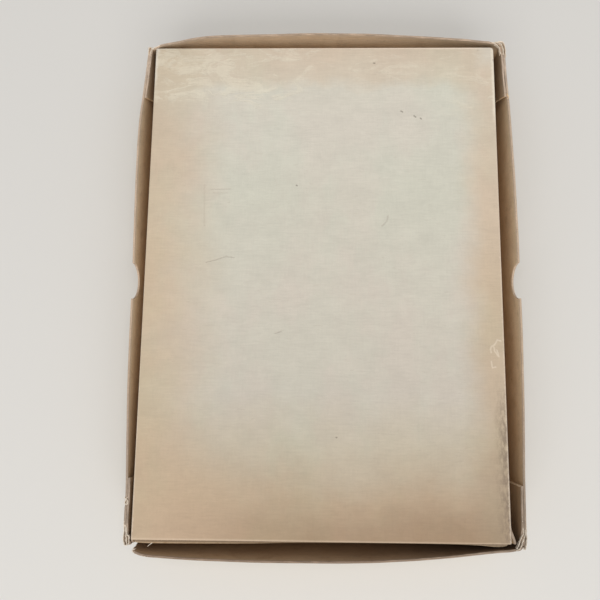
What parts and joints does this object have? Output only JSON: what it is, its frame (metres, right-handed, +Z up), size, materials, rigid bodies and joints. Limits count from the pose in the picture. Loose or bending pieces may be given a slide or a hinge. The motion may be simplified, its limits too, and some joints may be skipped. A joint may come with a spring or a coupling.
{
  "type": "archival document box",
  "caption": "Shallow two-piece document box of scored board: an open lid with bowed walls and thumb notches, holding an upturned tray that lifts out.",
  "frame": {"origin": "middle of the lid's flat face where it rests, at the bottom of the closed box", "axes": "+Z up through the tray's panel, +Y along the long side to the back short wall, +X to the right long wall"},
  "size_m": [0.2372, 0.3274, 0.046],
  "materials": {
    "lid_board": "matt buff board, yellowed with age, paler along its cut edges",
    "tray_facing": "matt cream lining paper on board, tanned towards its edges and scuffed",
    "tray_board": "matt buff board, yellowed with age"
  },
  "bodies": {
    "lid": {"lid_panel": "lid_board", "lid_left_wall": "lid_board", "lid_right_wall": "lid_board", "lid_front_wall": "lid_board", "lid_back_wall": "lid_board", "lid_front_left_tab": "lid_board", "lid_front_right_tab": "lid_board", "lid_back_left_tab": "lid_board", "lid_back_right_tab": "lid_board"},
    "tray": {"tray_panel": "tray_facing", "tray_left_wall": "tray_board", "tray_right_wall": "tray_board", "tray_front_wall": "tray_board", "tray_back_wall": "tray_board", "tray_front_left_tab": "tray_board", "tray_front_right_tab": "tray_board", "tray_back_left_tab": "tray_board", "tray_back_right_tab": "tray_board"}
  },
  "joints": [
    {"name": "tray_lift", "type": "slide", "parent": "lid", "child": "tray", "axis": [0, 0, 1], "range_m": [0, 0.06]}
  ]
}
